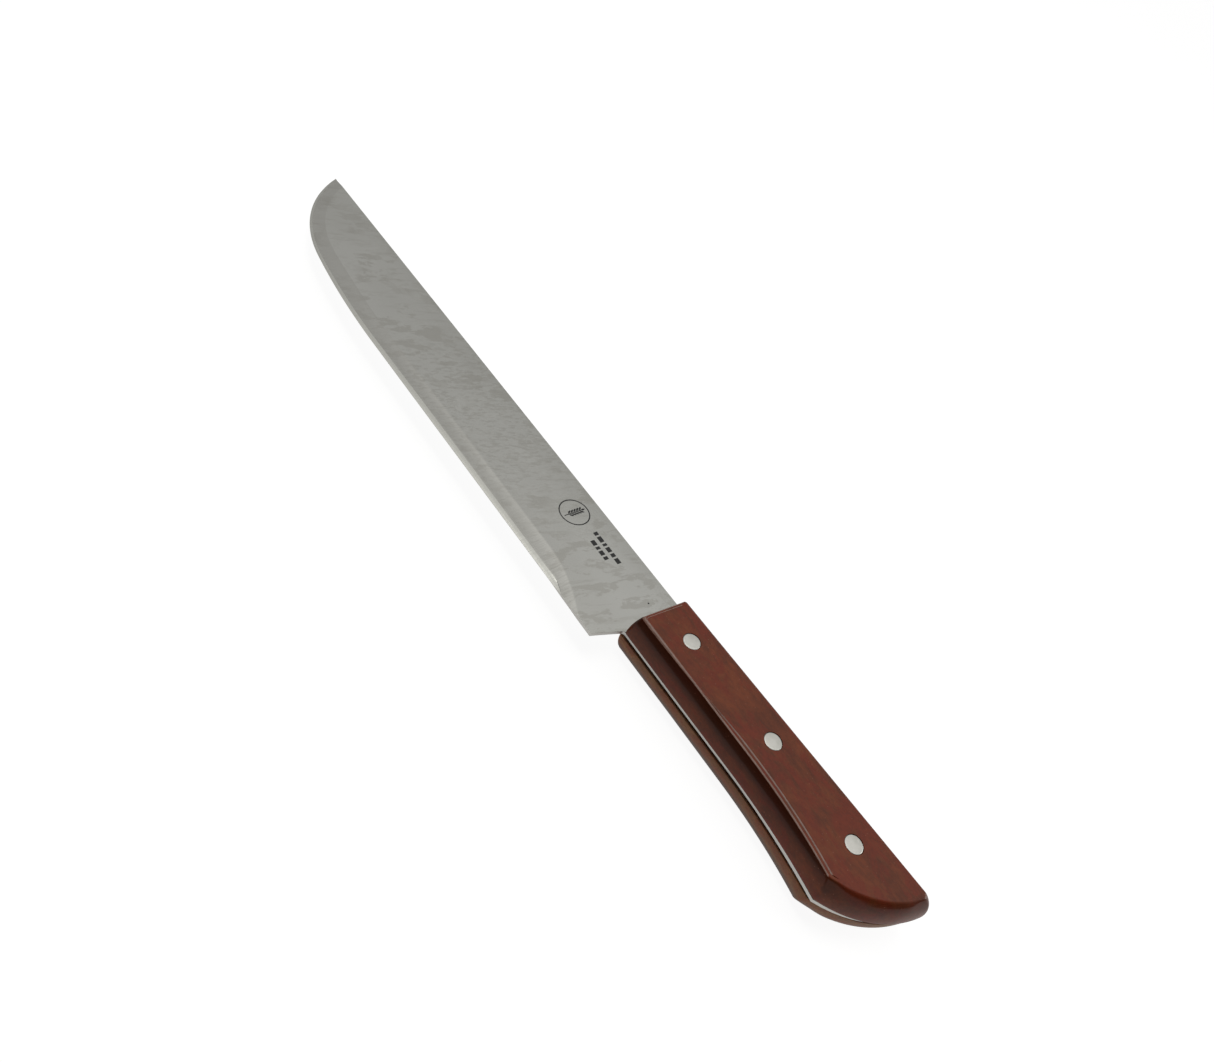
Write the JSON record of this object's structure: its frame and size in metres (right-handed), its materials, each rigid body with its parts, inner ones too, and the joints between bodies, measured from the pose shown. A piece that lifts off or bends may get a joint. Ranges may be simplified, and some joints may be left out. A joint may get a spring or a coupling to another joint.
{
  "type": "bread knife",
  "caption": "Full-tang kitchen slicing knife with a wide plain-edged blade, a hollow-ground edge band and a reddish wooden handle fastened with flush cutler's rivets.",
  "frame": {"origin": "bottom centre of the bounding box, with the knife lying on its right side", "axes": "+X from the tip towards the butt of the handle, +Y from the cutting edge towards the spine, +Z out of the left side of the blade"},
  "size_m": [0.3754, 0.038, 0.0193],
  "materials": {
    "blade_steel": "satin rolled stainless sheet",
    "scale_wood": "reddish-brown resin-filled wood under gloss lacquer",
    "rivet_metal": "fine satin"
  },
  "bodies": {
    "root": {"blade": "blade_steel", "left_scale": "scale_wood", "right_scale": "scale_wood", "rivet_socket_front": "rivet_metal", "rivet_post_front": "rivet_metal", "rivet_socket_middle": "rivet_metal", "rivet_post_middle": "rivet_metal", "rivet_socket_rear": "rivet_metal", "rivet_post_rear": "rivet_metal"}
  },
  "joints": []
}
